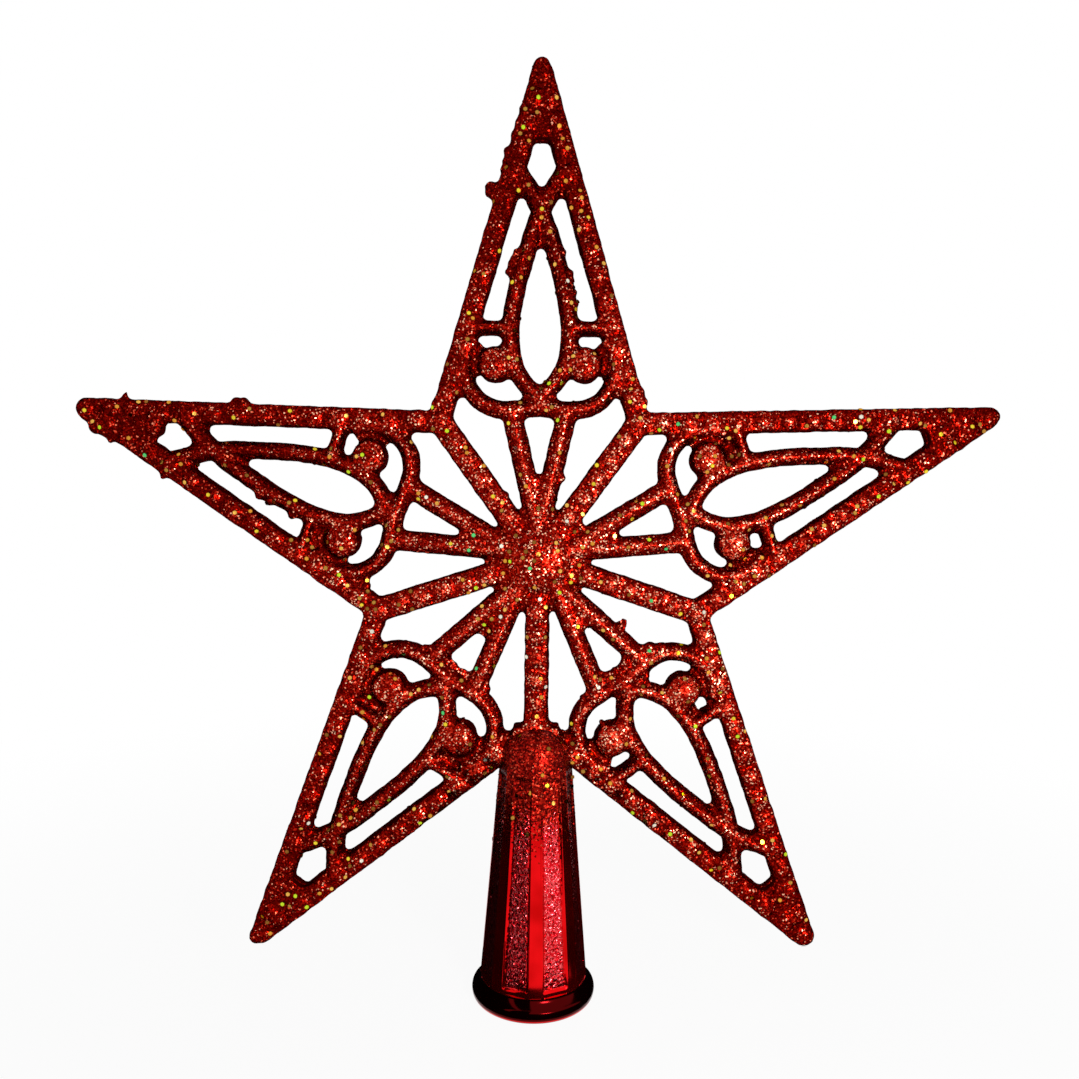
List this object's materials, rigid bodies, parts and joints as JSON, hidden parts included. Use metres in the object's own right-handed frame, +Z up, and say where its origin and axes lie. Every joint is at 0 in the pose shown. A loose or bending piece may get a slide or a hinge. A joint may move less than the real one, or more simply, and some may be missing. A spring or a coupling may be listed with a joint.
{
  "type": "christmas tree topper star",
  "caption": "Red glittered filigree star with beaded rims and scrolls, on a ribbed tapered socket that slips over the top shoot of a tree.",
  "frame": {"origin": "centre of the socket's round foot, on its lowest plane", "axes": "+Z up the socket's axis to the top tip of the star; +X along the star's width; the star stands in the XZ plane and its front faces -Y"},
  "size_m": [0.1994, 0.027, 0.2013],
  "materials": {
    "glitter_coat_front": "red moulded plastic under clear glue with dense fine red glitter and scattered gold hexagonal flakes",
    "glitter_coat_back": "the same red glitter coat as the front",
    "plated_socket": "bright red metallised plastic, polished ribs and stippled panels, glitter fading down from the head",
    "hex_flakes": "gold and green iridescent glitter flakes one millimetre across"
  },
  "bodies": {
    "root": {"star_front": "glitter_coat_front", "star_back": "glitter_coat_back", "socket": "plated_socket"}
  },
  "joints": []
}
